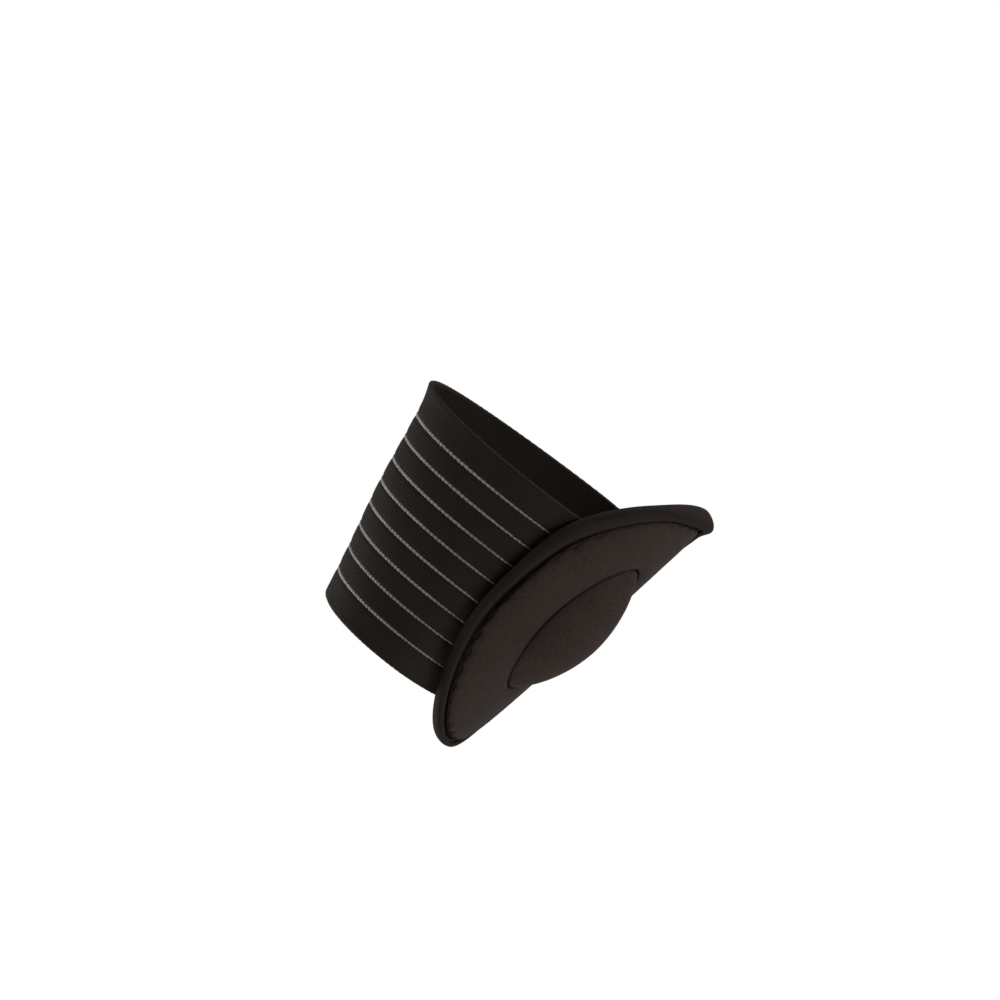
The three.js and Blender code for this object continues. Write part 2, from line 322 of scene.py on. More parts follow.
def finish_mesh(name, vertices, faces, corner_uvs, material):
    mesh = bpy.data.meshes.new(name)
    mesh.from_pydata((np.asarray(vertices) * MM).tolist(), [], faces)
    layer = mesh.uv_layers.new(name="lay")
    layer.data.foreach_set("uv", np.asarray(corner_uvs, np.float32).ravel())
    mesh.polygons.foreach_set("use_smooth", [True] * len(mesh.polygons))
    mesh.materials.append(material)
    mesh.update()
    piece = bpy.data.objects.new(name, mesh)
    bpy.context.scene.collection.objects.link(piece)
    return piece


def grid_faces(rows, columns, wrap_rows=False):
    """Quads between rings of points, with for each corner its row and column before any wrap."""
    first_rows = np.arange(rows if wrap_rows else rows - 1)
    row, column = (grid.ravel() for grid in np.meshgrid(first_rows, np.arange(columns), indexing="ij"))
    corner_rows = np.stack([row, row, row + 1, row + 1], 1)
    corner_columns = np.stack([column, column + 1, column + 1, column], 1)
    faces = (corner_rows % rows) * columns + corner_columns % columns
    return faces, corner_rows, corner_columns


def faces_out(vertices, faces):
    """True where a closed mesh has its faces pointing out."""
    corners = [vertices[[face[i] for face in faces]] for i in range(3)]
    return (corners[0] * np.cross(corners[1], corners[2])).sum() > 0


def turned_over(faces, corner_uvs):
    """The same faces seen from their other side, with their layout."""
    turned_uvs = []
    first = 0
    for face in faces:
        turned_uvs.extend(corner_uvs[first:first + len(face)][::-1])
        first += len(face)
    return [face[::-1] for face in faces], turned_uvs


def tip_faces(rows, columns):
    """Fans that close the first and last ring on two tips, which are the last vertices."""
    faces = []
    for end, first in enumerate((0, (rows - 1) * columns)):
        for column in range(columns):
            pair = [first + column, first + (column + 1) % columns]
            faces.append([rows * columns + end, *(pair[::-1] if end == 0 else pair)])
    return faces


def cap_faces(rows, columns):
    """Strips that close the first and last ring from one of its long sides to the other."""
    faces = []
    for end, first in enumerate((0, (rows - 1) * columns)):
        for column in range(columns // 2):
            here = [column, column + 1]
            across = [(columns - column - 1) % columns, (columns - column) % columns]
            strip = [first + i for i in dict.fromkeys(here + across)]
            faces.append(strip[::-1] if end == 0 else strip)
    return faces


def ring_piece(name, points, uvs, material, wrap_rows=False, tips=None):
    """A closed piece from rings of points, which wrap round, close on tips or close on flat caps."""
    rows, columns = points.shape[:2]
    quads, corner_rows, corner_columns = grid_faces(rows, columns, wrap_rows)
    vertices = points.reshape(-1, 3)
    faces = quads.tolist()
    corner_uvs = uvs[corner_rows, corner_columns].reshape(-1, 2).tolist()
    ends = []
    if tips is not None:
        vertices = np.concatenate([vertices, tips])
        ends = tip_faces(rows, columns)
    elif not wrap_rows:
        ends = cap_faces(rows, columns)
    vertex_uvs = np.concatenate([uvs[:rows, :columns].reshape(-1, 2), uvs[[0, -1], 0]])
    for face in ends:
        corner_uvs.extend(vertex_uvs[face].tolist())
    faces += ends
    if not faces_out(vertices, faces):
        faces, corner_uvs = turned_over(faces, corner_uvs)
    return finish_mesh(name, vertices, faces, corner_uvs, material)


def joined_tubes(name, tubes, spacing, material):
    """One piece from several tubes, each an array of rings at that spacing, with closed ends."""
    vertices = []
    faces = []
    corner_uvs = []
    first = 0
    for tube in tubes:
        rows, columns = tube.shape[:2]
        quads, corner_rows, corner_columns = grid_faces(rows, columns)
        start_cap = list(range(columns))[::-1]
        end_cap = list(range((rows - 1) * columns, rows * columns))
        part = quads.tolist() + [start_cap, end_cap]
        uvs = np.stack([corner_columns / columns, corner_rows * spacing / UV_SPAN], -1).reshape(-1, 2)
        part_uvs = np.concatenate([uvs, np.zeros((2 * columns, 2))]).tolist()
        points = tube.reshape(-1, 3)
        if not faces_out(points - points.mean(0), part):
            part, part_uvs = turned_over(part, part_uvs)
        faces.extend([first + i for i in face] for face in part)
        corner_uvs.extend(part_uvs)
        vertices.append(points)
        first += rows * columns
    return finish_mesh(name, np.concatenate(vertices), faces, corner_uvs, material)


# Shader helpers

def add_node(tree, kind, inputs=None, **settings):
    node = tree.nodes.new(kind)
    for key, value in settings.items():
        setattr(node, key, value)
    for key, value in (inputs or {}).items():
        if isinstance(value, bpy.types.NodeSocket):
            tree.links.new(value, node.inputs[key])
        else:
            node.inputs[key].default_value = value
    return node


def cleared_tree(owner):
    """The emptied node tree of a material or a world."""
    owner.use_nodes = True
    owner.node_tree.nodes.clear()
    return owner.node_tree


def calc(tree, operation, a, b=0.0, c=0.0):
    return add_node(tree, "ShaderNodeMath", {0: a, 1: b, 2: c}, operation=operation).outputs[0]


def blend(tree, a, b, share):
    """Two heights or shades from 0 to 1, with that share of the second."""
    return calc(tree, "ADD", calc(tree, "MULTIPLY", a, 1 - share), calc(tree, "MULTIPLY", b, share))


def wave(tree, value, length):
    """From 0 to 1 and back over each length."""
    turns = calc(tree, "MULTIPLY", value, TAU / length)
    return calc(tree, "MULTIPLY_ADD", calc(tree, "SINE", turns), 0.5, 0.5)


def new_material(name, specular):
    material = bpy.data.materials.new(name)
    tree = cleared_tree(material)
    output = add_node(tree, "ShaderNodeOutputMaterial")
    shader = add_node(tree, "ShaderNodeBsdfPrincipled")
    shader.inputs["Specular IOR Level"].default_value = specular
    tree.links.new(shader.outputs["BSDF"], output.inputs["Surface"])
    return material, tree, shader


def laid_out(tree):
    """The piece's own flat layout, in millimetres."""
    place = add_node(tree, "ShaderNodeUVMap", uv_map="lay").outputs["UV"]
    inputs = {0: place, 1: (UV_SPAN, UV_SPAN, 0)}
    scaled = add_node(tree, "ShaderNodeVectorMath", inputs, operation="MULTIPLY")
    split = add_node(tree, "ShaderNodeSeparateXYZ", {0: scaled.outputs[0]})
    return split.outputs[0], split.outputs[1]


def mottle(tree, size, detail=3.0):
    """Noise from 0 to 1 with blotches of that size in millimetres."""
    place = add_node(tree, "ShaderNodeTexCoord").outputs["Object"]
    inputs = {"Vector": place, "Scale": 1 / (size * MM), "Detail": detail}
    return add_node(tree, "ShaderNodeTexNoise", inputs).outputs["Fac"]


def pebbles(tree, size):
    """Rounded bumps of that size in millimetres, from about 0 between them to 1 at their tops."""
    place = add_node(tree, "ShaderNodeTexCoord").outputs["Object"]
    inputs = {"Vector": place, "Scale": 1 / (size * MM)}
    distance = add_node(tree, "ShaderNodeTexVoronoi", inputs).outputs["Distance"]
    return calc(tree, "SUBTRACT", 1.0, distance)


def set_colour(tree, shader, share, low, high):
    mix = add_node(tree, "ShaderNodeMix", {"Factor": share}, data_type="RGBA")
    mix.inputs["A"].default_value = (*low, 1)
    mix.inputs["B"].default_value = (*high, 1)
    tree.links.new(mix.outputs["Result"], shader.inputs["Base Color"])


def set_roughness(tree, shader, share, low, high):
    inputs = {"Value": share, "To Min": low, "To Max": high}
    ranged = add_node(tree, "ShaderNodeMapRange", inputs)
    tree.links.new(ranged.outputs["Result"], shader.inputs["Roughness"])


def set_bump(tree, shader, height, depth, strength):
    inputs = {"Height": height, "Distance": depth * MM, "Strength": strength}
    bump = add_node(tree, "ShaderNodeBump", inputs)
    tree.links.new(bump.outputs["Normal"], shader.inputs["Normal"])


# Materials

def knit(tree, across, along, wale, course):
    """Height from 0 to 1 of columns of V-shaped knit stitches."""
    fold = calc(tree, "PINGPONG", calc(tree, "DIVIDE", across, wale), 0.5)
    slanted = calc(tree, "ADD", along, calc(tree, "MULTIPLY", fold, course))
    return blend(tree, wave(tree, slanted, course), calc(tree, "MULTIPLY", fold, 2.0), 0.6)


def elastic_material():
    """Black knit with painted shade on the inner face, which is laid out past the band's width."""
    material, tree, shader = new_material("black_elastic", specular=0.04)
    across, along = laid_out(tree)
    stitches = knit(tree, across, along, wale=0.85, course=0.95)
    blotch = mottle(tree, size=9)
    fuzz = mottle(tree, size=0.4, detail=2)
    shade = blend(tree, blend(tree, stitches, fuzz, 0.4), blotch, 0.35)
    # Painted shade: the inner face, inside the band's loop, is painted at half the shade of the outer
    # face
    outside = calc(tree, "LESS_THAN", across, BAND_WIDTH)
    painted_inside_shade = calc(tree, "MULTIPLY_ADD", outside, 0.5, 0.5)
    shade = calc(tree, "MULTIPLY", shade, painted_inside_shade)
    set_colour(tree, shader, shade, low=(0.005, 0.004, 0.0031), high=(0.034, 0.027, 0.0211))
    set_roughness(tree, shader, blotch, low=0.8, high=0.95)
    set_bump(tree, shader, blend(tree, stitches, fuzz, 0.25), depth=0.2, strength=0.8)
    return material


def yarn_material(length):
    """Pale yarn that dips under the black knit between its floats, with painted shade towards its ends,
    near the pad's rim.
    """
    material, tree, shader = new_material("pale_yarn", specular=0.1)
    _, along = laid_out(tree)
    fibre = mottle(tree, size=0.4, detail=2)
    blotch = mottle(tree, size=8)
    floats = wave(tree, along, YARN_STITCH)
    # Painted shade: a yarn is painted darker towards both ends, near the pad's rim, and shown is the
    # share of its colour kept
    from_end = calc(tree, "MINIMUM", along, calc(tree, "SUBTRACT", length, along))
    fade = {"Value": from_end, "From Min": YARN_END_SHADE["from"], "From Max": YARN_END_SHADE["to"],
            "To Min": YARN_END_SHADE["share"]}
    shown = add_node(tree, "ShaderNodeMapRange", fade).outputs["Result"]
    shade = blend(tree, blend(tree, floats, fibre, 0.45), blotch, 0.5)
    shade = calc(tree, "MULTIPLY", shade, shown)
    set_colour(tree, shader, shade, low=(0.0, 0.0, 0.0), high=(0.47, 0.43, 0.4))
    set_roughness(tree, shader, fibre, low=0.6, high=0.85)
    set_bump(tree, shader, fibre, depth=0.1, strength=0.6)
    return material


def skin_material(name, low, high, roughness):
    """Soft satin skin with a fine pebbled grain."""
    material, tree, shader = new_material(name, specular=0.03)
    grain = pebbles(tree, size=0.55)
    fine = mottle(tree, size=0.25, detail=2)
    blotch = mottle(tree, size=14)
    crease = mottle(tree, size=3.2, detail=4)
    shade = blend(tree, blend(tree, blotch, fine, 0.4), grain, 0.45)
    set_colour(tree, shader, shade, low, high)
    spread = 0.08
    set_roughness(tree, shader, blend(tree, blotch, grain, 0.4), roughness - spread, roughness + spread)
    relief = blend(tree, blend(tree, grain, fine, 0.25), crease, 0.3)
    set_bump(tree, shader, relief, depth=0.22, strength=0.6)
    return material


def binding_material():
    """Dull black cloth in a plain weave."""
    material, tree, shader = new_material("black_binding", specular=0.03)
    around, across = laid_out(tree)
    thread_pitch = 0.6
    weave = blend(tree, wave(tree, around, thread_pitch), wave(tree, across, thread_pitch), 0.5)
    blotch = mottle(tree, size=8)
    fuzz = mottle(tree, size=0.4, detail=2)
    shade = blend(tree, blend(tree, weave, fuzz, 0.5), blotch, 0.45)
    set_colour(tree, shader, shade, low=(0.0085, 0.0064, 0.0052), high=(0.029, 0.022, 0.0182))
    set_roughness(tree, shader, blotch, low=0.72, high=0.9)
    set_bump(tree, shader, blend(tree, weave, fuzz, 0.35), depth=0.1, strength=0.6)
    return material


def thread_material():
    """Black sewing thread of two plies."""
    material, tree, shader = new_material("black_thread", specular=0.1)
    around, along = laid_out(tree)
    plies = 2
    turn_length = 0.8
    turns_around = calc(tree, "DIVIDE", around, UV_SPAN)
    twist = calc(tree, "ADD", turns_around, calc(tree, "DIVIDE", along, turn_length))
    ply = wave(tree, twist, 1 / plies)
    set_colour(tree, shader, ply, low=(0.004, 0.0033, 0.0028), high=(0.013, 0.0105, 0.009))
    set_roughness(tree, shader, ply, low=0.5, high=0.7)
    set_bump(tree, shader, ply, depth=0.08, strength=0.7)
    return material


# Band

def groove_centres():
    return GROOVE_MARGIN - BAND_WIDTH / 2 + GROOVE_PITCH * np.arange(GROOVES)


def band_x(across, turn):
    """Where the line at this distance from the middle of the band crosses the last at this turn."""
    x = BAND_X + across + 0 * turn
    settles = 6
    for _ in range(settles):
        x = BAND_X + across - BAND_LEAN * (section(x, turn)[1] - BAND_LEAN_HEIGHT)
    return x


def pad_middle(x):
    share = x / PAD_HALF_LENGTH
    return PAD_ARC - PAD_BOW * share ** 2 - PAD_TILT * share


def pad_half_width(x):
    from_middle = (x - DRAW_IN["x"]) / DRAW_IN["span"]
    return PAD_HALF_WIDTH - DRAW_IN["depth"] * np.exp(-from_middle ** DRAW_IN["sharpness"])


def under_pad(across, turn):
    """True where the band lies under the pad, in from its edge by more than the tuck."""
    x = band_x(across, turn)
    from_middle = arc_at_turn(x, np.where(turn > CREST_TURN, turn - QUARTERS, turn)) - pad_middle(x)
    fullness = np.where(from_middle < 0, PAD_FULLNESS["outer"], PAD_FULLNESS["inner"])
    along_share = np.abs(x) / (PAD_HALF_LENGTH - BAND_TUCK)
    across_share = np.abs(from_middle) / (pad_half_width(x) - BAND_TUCK)
    return along_share ** fullness + across_share ** fullness < 1


def tuck_turn(across, clear, under):
    """The turns where the lines run in under the pad, by halving from a clear turn to a covered one."""
    clear = np.full(across.shape, clear)
    under = np.full(across.shape, under)
    halvings = 24
    for _ in range(halvings):
        middle = (clear + under) / 2
        covered = under_pad(across, middle)
        under = np.where(covered, middle, under)
        clear = np.where(covered, clear, middle)
    return under


def band_turns(across, shares):
    """Turns along each line of the band, at shares from its inner end to its outer end."""
    first = tuck_turn(across, INNER_INSTEP_TURN, UNDER_PAD_TURN)
    last = tuck_turn(across, OUTER_SIDE_TURN, UNDER_PAD_TURN + QUARTERS)
    return first + (last - first) * shares


def even_shares(count):
    """Shares along the band that are evenly spaced in length on its middle line, and that length."""
    middle = np.zeros(1)
    fine_steps = 2000
    fine = np.linspace(0, 1, fine_steps)
    turns = band_turns(middle, fine[:, None])
    lengths = lengths_along(on_last(band_x(middle, turns), turns, BAND_OUTER)[:, 0])
    return np.interp(np.linspace(0, lengths[-1], count), lengths, fine)[:, None], lengths[-1]


def rib_heights(across):
    """Offsets of the band's outer and inner faces, with rounded edges and ribs between the grooves."""
    from_groove = np.abs(across[:, None] - groove_centres()).min(1)
    rise = 1 - (1 - np.clip(from_groove / (GROOVE_PITCH / 2), 0, 1)) ** RIB_SQUARENESS
    outer = GROOVE_BOTTOM + (BAND_OUTER - GROOVE_BOTTOM) * rise
    from_edge = np.clip((BAND_WIDTH / 2 - np.abs(across)) / BAND_EDGE_ROUND, 0, 1)
    rounding = np.sqrt(1 - (1 - from_edge) ** 2)
    outer = BAND_MIDDLE + (outer - BAND_MIDDLE) * rounding
    return outer, BAND_MIDDLE - (BAND_MIDDLE - BAND_INNER) * rounding


def scallops(across, along):
    """Sideways waves of the two edges, where the yarn turns back at each row of knitting."""
    from_edge = (BAND_WIDTH / 2 - np.abs(across)) / SCALLOP["width"]
    share = np.clip(1 - from_edge, 0, 1) * np.sign(across)
    return SCALLOP["depth"] * share * np.sin(TAU * along / SCALLOP["length"])


def edge_flare(across, turns):
    """How far the band's heel edge rolls out, which it does at the crest."""
    near_edge = np.clip(1 - (BAND_WIDTH / 2 - across) / FLARE["width"], 0, 1) ** 2
    at_crest = np.exp(-((turns - CREST_TURN) / FLARE["spread"]) ** 2)
    return FLARE["height"] * near_edge * at_crest


def make_band(material):
    """The band, each ring of it going across the outer face and back across the inner, and its length."""
    across = np.linspace(-BAND_WIDTH / 2, BAND_WIDTH / 2, BAND_COLUMNS)
    outer, inner = rib_heights(across)
    ring_across = np.concatenate([across, across[-2:0:-1]])
    ring_offset = np.concatenate([outer, inner[-2:0:-1]])
    shares, length = even_shares(BAND_STATIONS)
    along = np.linspace(0, length, BAND_STATIONS)[:, None]
    turns = band_turns(ring_across, shares)
    flare = edge_flare(ring_across, turns)
    x = band_x(ring_across + scallops(ring_across, along) + flare, turns)
    points = on_last(x, turns, ring_offset + flare)
    laid_across = np.concatenate([across, BAND_WIDTH + across[:-1]]) + BAND_WIDTH / 2
    uvs = np.stack(np.broadcast_arrays(laid_across, along), -1) / UV_SPAN
    return ring_piece("elastic_band_knit", points, uvs, material), length


def yarn_share(turns):
    """How much of a yarn shows: all at the crest, where the knit is stretched most, less at the ends."""
    from_crest = np.clip(np.abs(turns - CREST_TURN), 0, 1)
    return 1 - (1 - YARN_END_SHARE) * from_crest ** 2


def make_yarns(material):
    """A yarn in each groove, which swells at each stitch and sways a little."""
    shares, length = even_shares(YARN_STATIONS)
    along = np.linspace(0, length, YARN_STATIONS)[:, None]
    angles = TAU * np.arange(YARN_SIDES) / YARN_SIDES
    swell = 1 + YARN_SWELL * np.cos(TAU * along / YARN_STITCH)
    sway = YARN_SWAY * np.sin(TAU * along / (2 * YARN_STITCH))
    tubes = []
    for centre in groove_centres():
        turns = band_turns(np.array([centre]), shares)
        size = swell * yarn_share(turns)
        across = centre + sway + size * YARN_HALF_WIDTH * np.cos(angles)
        offset = YARN_CENTRE + size * YARN_HALF_HEIGHT * np.sin(angles)
        tubes.append(on_last(band_x(across, turns), turns + 0 * across, offset))
    return joined_tubes("stripe_yarns", tubes, length / (YARN_STATIONS - 1), material)


# Pad, cushion and binding

def oval_row(row):
    """Share of the pad's size, share of the cushion's, growth, part of the rim's width and offset."""
    on_pad = float("rim" in row or "inset" in row)
    growth = row.get("outset", 0) - row.get("inset", 0)
    return on_pad, row.get("share", 1 - on_pad), growth, row.get("rim", 0), row["offset"]


def smooth_step(value, start, end):
    """From 0 at the start to 1 at the end, level at both."""
    share = np.clip((value - start) / (end - start), 0, 1)
    return share ** 2 * (3 - 2 * share)


def rim_scale(angles):
    towards_heel = smooth_step(np.cos(angles), RIM_SCALE["from"], RIM_SCALE["to"])
    return RIM_SCALE["toe"] + (RIM_SCALE["heel"] - RIM_SCALE["toe"]) * towards_heel


def rounded_profile(rows, times, closed=False):
    """The profile's ovals with its corners cut, a few times over."""
    profile = np.array([oval_row(row) for row in rows])
    for _ in range(times):
        after = np.roll(profile, -1, axis=0)
        early = (1 - CORNER_CUT) * profile + CORNER_CUT * after
        late = CORNER_CUT * profile + (1 - CORNER_CUT) * after
        cuts = np.stack([early, late], 1)
        if closed:
            profile = cuts.reshape(-1, profile.shape[1])
        else:
            middle = cuts[:-1].reshape(-1, profile.shape[1])
            profile = np.concatenate([profile[:1], middle, profile[-1:]])
    return profile


def bent(value, power):
    return np.sign(value) * np.abs(value) ** power


def oval_angles(sides=OVAL_SIDES):
    return -TAU * np.arange(sides) / sides


def oval_layout(profile, angles, pull=0):
    """Flat places x and arc and the offset of each oval's points, drawn in by the pull."""
    on_pad, share, growth, rim, offset = profile.T[:, :, None]
    growth = growth - rim * rim_scale(angles) - pull
    fullness = np.where(np.sin(angles) < 0, PAD_FULLNESS["outer"], PAD_FULLNESS["inner"])
    power = 2 / (CUSHION_FULLNESS + on_pad * (fullness - CUSHION_FULLNESS))
    x = (on_pad * PAD_HALF_LENGTH + share * CUSHION_HALF_LENGTH + growth) * bent(np.cos(angles), power)
    middle = CUSHION_ARC + on_pad * (pad_middle(x) - CUSHION_ARC)
    half_width = on_pad * pad_half_width(x) + share * CUSHION_HALF_WIDTH + growth
    return x, middle + half_width * bent(np.sin(angles), power), offset + 0 * x


def oval_points(x, arc, offset):
    """Points on the last, with the heel end lifted off it and its tip thickened and cut at a slant."""
    past_start = np.maximum(0, (x - HEEL_LIFT["x"]) / HEEL_LIFT["span"])
    lift = HEEL_LIFT["height"] * past_start ** 2
    at_tip = smooth_step(x, HEEL_TIP["from"], HEEL_TIP["to"]) * (offset - HEEL_TIP["offset"])
    x = x - HEEL_TIP["slant"] * at_tip
    return on_last(x, turn_at_arc(x, arc), offset + lift + HEEL_TIP["thicken"] * at_tip)


def tip_points(*offsets):
    """Points at these offsets over the cushion's middle, which close the pad and the cushion."""
    offsets = np.array(offsets)
    return oval_points(0 * offsets, CUSHION_ARC + 0 * offsets, offsets)


def flat_uvs(x, arc):
    """Layout of an oval piece, moved clear of zero, with its first column repeated where it wraps."""
    uvs = np.stack([x + UV_SPAN / 4, arc + UV_SPAN / 4], -1) / UV_SPAN
    return np.concatenate([uvs, uvs[:, :1]], 1)


def pucker_shares(profile, angles):
    """How far the seam pulls each point of the padded panel's edge, from 0 to 1."""
    on_pad, _, growth, rim, offset = profile.T[:, :, None]
    from_crease = (rim - CREASE["rim"]) * rim_scale(angles) - growth - CREASE["inset"]
    near_seam = np.clip(1 - np.abs(from_crease) / PUCKER["reach"], 0, 1)
    strength = 1 + PUCKER_SPELL["change"] * (np.sin(PUCKER_SPELL["count"] * angles) - 1)
    drift = PUCKER_DRIFT["turn"] * np.sin(PUCKER_DRIFT["count"] * angles)
    pulls = strength * (0.5 + 0.5 * np.cos(PUCKER["count"] * angles + drift)) ** 2
    on_panel_edge = (on_pad == 1) & (offset > PANEL_FROM["offset"])
    return np.where(on_panel_edge, near_seam * pulls, 0)


def panel_waves(x, arc, offset):
    """Slow rises and dips of the panel, which end at its edge."""
    along = np.sin(x / PANEL_WAVE["x"] + PANEL_WAVE["x_start"])
    across = np.sin(arc / PANEL_WAVE["arc"] + PANEL_WAVE["arc_start"])
    slanting = np.sin(x / SLANT_WAVE["x"] + arc / SLANT_WAVE["arc"])
    on_panel = np.clip((offset - PANEL_FROM["offset"]) / PANEL_FROM["span"], 0, 1)
    return on_panel * (PANEL_WAVE["height"] * along * across + SLANT_WAVE["height"] * slanting)


def make_pad(material):
    profile = rounded_profile(PAD_PROFILE, 3)
    angles = oval_angles()
    puckers = pucker_shares(profile, angles)
    x, arc, offset = oval_layout(profile, angles, PUCKER["pull"] * puckers)
    relief = panel_waves(x, arc, offset) - PUCKER["depth"] * puckers
    points = oval_points(x, arc, offset + relief)
    tips = tip_points(PAD_SEAT, PAD_INNER)
    return ring_piece("arch_pad_skin", points, flat_uvs(x, arc), material, tips=tips)


def dome_height(share):
    """Offset of the dome's surface on the oval that has this share of the cushion's size."""
    return CUSHION_BASE + CUSHION_RISE * (1 - share ** 2) ** CUSHION_ROUNDING


def make_cushion(material):
    shares = np.sin(np.linspace(CUSHION_FIRST_ROW, 1, CUSHION_ROWS) * math.pi / 2)
    dome = [{"share": share, "offset": dome_height(min(share, 1))} for share in shares]
    base = [
        {"share": 1, "offset": CUSHION_BASE - CUSHION_EDGE_DROP},
        {"share": 1, "offset": CUSHION_BOTTOM},
        {"share": 0.5, "offset": CUSHION_BOTTOM},
    ]
    x, arc, offset = oval_layout(rounded_profile(dome + base, 0), oval_angles())
    points = oval_points(x, arc, offset)
    tips = tip_points(dome_height(0), CUSHION_BOTTOM)
    return ring_piece("arch_cushion_skin", points, flat_uvs(x, arc), material, tips=tips)


def closed_line(points):
    return np.concatenate([points, points[:1]])


def make_binding(material):
    """The strip round the pad's edge, its length, and its width beside the tip, where it is full."""
    points = oval_points(*oval_layout(rounded_profile(BINDING_PROFILE, 2, closed=True), oval_angles()))
    beside_tip = OVAL_SIDES // 8
    around = lengths_along(closed_line(points.mean(0)))
    across = lengths_along(closed_line(points[:, beside_tip]))
    uvs = np.stack(np.broadcast_arrays(around, across[:, None]), -1) / UV_SPAN
    piece = ring_piece("edge_binding_tape", points, uvs, material, wrap_rows=True)
    return piece, around[-1], across[-1] / 2


# Seams

def stitch_tube(start, end, out):
    """One stitch: a short length of thread that rises from the cloth and goes back into it."""
    share = np.linspace(0, 1, STITCH_STATIONS)[:, None]
    rise = np.sin(math.pi * share)
    centre = start + (end - start) * share + out * STITCH_LIFT * rise
    side = np.cross(end - start, out)
    side = side / np.linalg.norm(side)
    fullness = STITCH_END_SHARE + (1 - STITCH_END_SHARE) * np.sqrt(np.abs(rise))
    radius = THREAD_RADIUS * fullness[:, :, None]
    angles = (TAU * np.arange(STITCH_SIDES) / STITCH_SIDES)[:, None]
    return centre[:, None] + radius * (np.cos(angles) * side + np.sin(angles) * out)


def ring_stitches(row, face):
    """Stitches evenly round one oval, on the outer face (1) or the inner face (-1)."""
    x, arc, offset = oval_layout(rounded_profile([row], 0), oval_angles(SEAM_SIDES))
    line = closed_line(oval_points(x, arc, offset)[0])
    outs = closed_line(face * (oval_points(x, arc, offset + 1) - oval_points(x, arc, offset))[0])
    lengths = lengths_along(line)
    count = round(lengths[-1] / STITCH_PITCH)

    def along(values, length):
        return np.array([np.interp(length, lengths, values[:, i]) for i in range(3)])

    tubes = []
    for middle in (np.arange(count) + 0.5) * lengths[-1] / count:
        ends = (middle - STITCH_LENGTH / 2, middle + STITCH_LENGTH / 2)
        tubes.append(stitch_tube(along(line, ends[0]), along(line, ends[1]), along(outs, middle)))
    return tubes


def end_stitches(length):
    """Zigzag seams on the inner face that hold the two ends of the band to the pad."""
    half = BAND_WIDTH / 2 - END_SEAM["margin"]
    count = round(2 * half / END_SEAM["pitch"])
    across = np.linspace(-half, half, count + 1)
    from_end = END_SEAM["from_end"] + END_SEAM["width"] * (np.arange(count + 1) % 2)
    tubes = []
    for shares in (from_end / length, 1 - from_end / length):
        turns = band_turns(across, shares)
        x = band_x(across, turns)
        line = on_last(x, turns, BAND_INNER)
        outs = on_last(x, turns, BAND_INNER - 1) - line
        tubes.extend(stitch_tube(line[i], line[i + 1], outs[i]) for i in range(count))
    return tubes


# Stage, light and camera

def camera_axes():
    """Directions to the right, up and back of the camera, with its roll."""
    sideways = math.sin(CAMERA_AZIMUTH)
    forward = math.cos(CAMERA_AZIMUTH)
    level = math.cos(CAMERA_ELEVATION)
    back = Vector((sideways * level, -forward * level, math.sin(CAMERA_ELEVATION)))
    right = Vector((forward, sideways, 0))
    up = back.cross(right)
    rolled_right = right * math.cos(CAMERA_ROLL) + up * math.sin(CAMERA_ROLL)
    rolled_up = up * math.cos(CAMERA_ROLL) - right * math.sin(CAMERA_ROLL)
    return rolled_right, rolled_up, back


def add_camera():
    right, up, back = camera_axes()
    data = bpy.data.cameras.new("camera")
    data.lens = CAMERA_LENS
    data.clip_start = CAMERA_CLIP["start"]
    data.clip_end = CAMERA_CLIP["end"]
    camera = bpy.data.objects.new("camera", data)
    bpy.context.scene.collection.objects.link(camera)
    aside = (IMAGE_SIDE / 2 - TARGET_PIXEL[0]) * PIXEL
    above = (TARGET_PIXEL[1] - IMAGE_SIDE / 2) * PIXEL
    place = CAMERA_TARGET + back * CAMERA_DISTANCE + right * aside + up * above
    turn = Matrix((right, up, back)).transposed().to_4x4()
    camera.matrix_world = Matrix.Translation(place) @ turn
    bpy.context.scene.camera = camera


def add_area_light(name, place, size, power):
    data = bpy.data.lights.new(name, "AREA")
    data.shape = "DISK"
    data.size = size
    data.energy = power
    light = bpy.data.objects.new(name, data)
    bpy.context.scene.collection.objects.link(light)
    light.location = place
    light.rotation_mode = "QUATERNION"
    light.rotation_quaternion = (CAMERA_TARGET - Vector(place)).to_track_quat("-Z", "Y")


def add_world():
    """White to the camera, and as light a softer white that is brighter on the far side."""
    world = bpy.data.worlds.new("studio")
    tree = cleared_tree(world)
    direction = add_node(tree, "ShaderNodeTexCoord").outputs["Generated"]
    depth = add_node(tree, "ShaderNodeSeparateXYZ", {0: direction}).outputs["Y"]
    inputs = {"Value": depth, "From Min": -1.0, "From Max": 1.0,
              "To Min": WORLD_LIGHT["near_side"], "To Max": WORLD_LIGHT["far_side"]}
    strength = add_node(tree, "ShaderNodeMapRange", inputs).outputs["Result"]
    lit = add_node(tree, "ShaderNodeBackground", {"Color": (1, 1, 1, 1), "Strength": strength})
    seen = add_node(tree, "ShaderNodeBackground", {"Color": (1, 1, 1, 1), "Strength": 1.0})
    path = add_node(tree, "ShaderNodeLightPath").outputs["Is Camera Ray"]
    mix = add_node(tree, "ShaderNodeMixShader", {0: path, 1: lit.outputs[0], 2: seen.outputs[0]})
    output = add_node(tree, "ShaderNodeOutputWorld")
    tree.links.new(mix.outputs[0], output.inputs["Surface"])
    bpy.context.scene.world = world


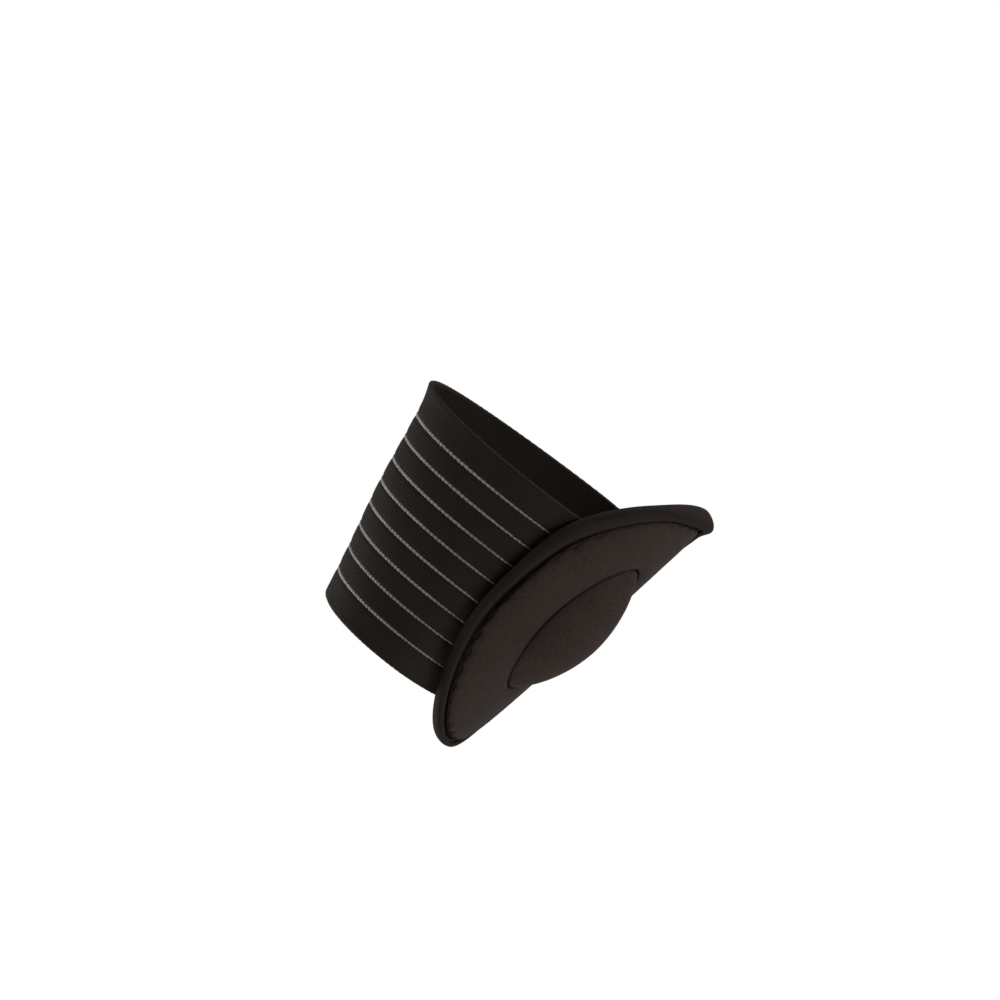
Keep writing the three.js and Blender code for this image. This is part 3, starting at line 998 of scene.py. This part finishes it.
def floor_material():
    """Pale floor that fades out to the white around it."""
    material = bpy.data.materials.new("pale_floor")
    tree = cleared_tree(material)
    place = add_node(tree, "ShaderNodeTexCoord").outputs["Object"]
    radius = add_node(tree, "ShaderNodeVectorMath", {0: place}, operation="LENGTH").outputs["Value"]
    fade = {"Value": radius, "From Min": FLOOR_SOLID_RADIUS * MM, "From Max": FLOOR_RADIUS * MM,
            "To Min": 1.0, "To Max": 0.0}
    solid = add_node(tree, "ShaderNodeMapRange", fade, interpolation_type="SMOOTHSTEP").outputs["Result"]
    pale = add_node(tree, "ShaderNodeBsdfDiffuse", {"Color": (FLOOR_SHADE, FLOOR_SHADE, FLOOR_SHADE, 1)})
    clear = add_node(tree, "ShaderNodeBsdfTransparent")
    mix = add_node(tree, "ShaderNodeMixShader", {0: solid, 1: clear.outputs[0], 2: pale.outputs[0]})
    output = add_node(tree, "ShaderNodeOutputMaterial")
    tree.links.new(mix.outputs[0], output.inputs["Surface"])
    return material


def add_floor():
    angles = TAU * np.arange(FLOOR_SIDES) / FLOOR_SIDES
    rim = np.stack([np.cos(angles), np.sin(angles), 0 * angles], 1) * FLOOR_RADIUS
    uvs = np.zeros((FLOOR_SIDES, 2))
    floor = finish_mesh("floor", rim, [list(range(FLOOR_SIDES))], uvs, floor_material())
    floor.location.z = cad_box[0].z - FLOOR_DROP * MM


# Assembly

def dress(piece, slot, *nodes):
    """Gives a piece its body and hides the solids that it stands for. The slot is not used."""
    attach(piece, "root")
    if nodes:
        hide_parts(*nodes)


pad_skin = skin_material(
    "pad_skin", low=(0.0105, 0.0074, 0.006), high=(0.0435, 0.0311, 0.0256), roughness=0.55)
# Painted light: the cushion is the pad's skin painted lighter, standing in for the light from below that
# brightens the dome
cushion_skin = skin_material(
    "cushion_skin", low=(0.0105, 0.0074, 0.0062), high=(0.0515, 0.0365, 0.0305), roughness=0.52)
thread = thread_material()

band, band_length = make_band(elastic_material())
yarns = make_yarns(yarn_material(band_length))
pad = make_pad(pad_skin)
cushion = make_cushion(cushion_skin)
binding, binding_length, binding_width = make_binding(binding_material())
edge_tubes = ring_stitches(OUTER_SEAM, 1) + ring_stitches(INNER_SEAM, -1)
stitch_spacing = STITCH_LENGTH / (STITCH_STATIONS - 1)
edge_seams = joined_tubes("binding_stitches", edge_tubes, stitch_spacing, thread)
end_seams = joined_tubes("band_end_stitches", end_stitches(band_length), stitch_spacing, thread)

dress(band, "band_elastic", "elastic_band")
dress(yarns, "band_elastic")
dress(end_seams, "band_elastic")
dress(pad, "pad_skin", "arch_pad")
dress(cushion, "cushion_skin", "arch_cushion")
dress(binding, "binding_cloth", "edge_binding")
dress(edge_seams, "binding_cloth")

add_floor()
add_world()
for light in LIGHTS:
    add_area_light(**light)
add_camera()
bpy.context.scene.view_settings.view_transform = "Standard"
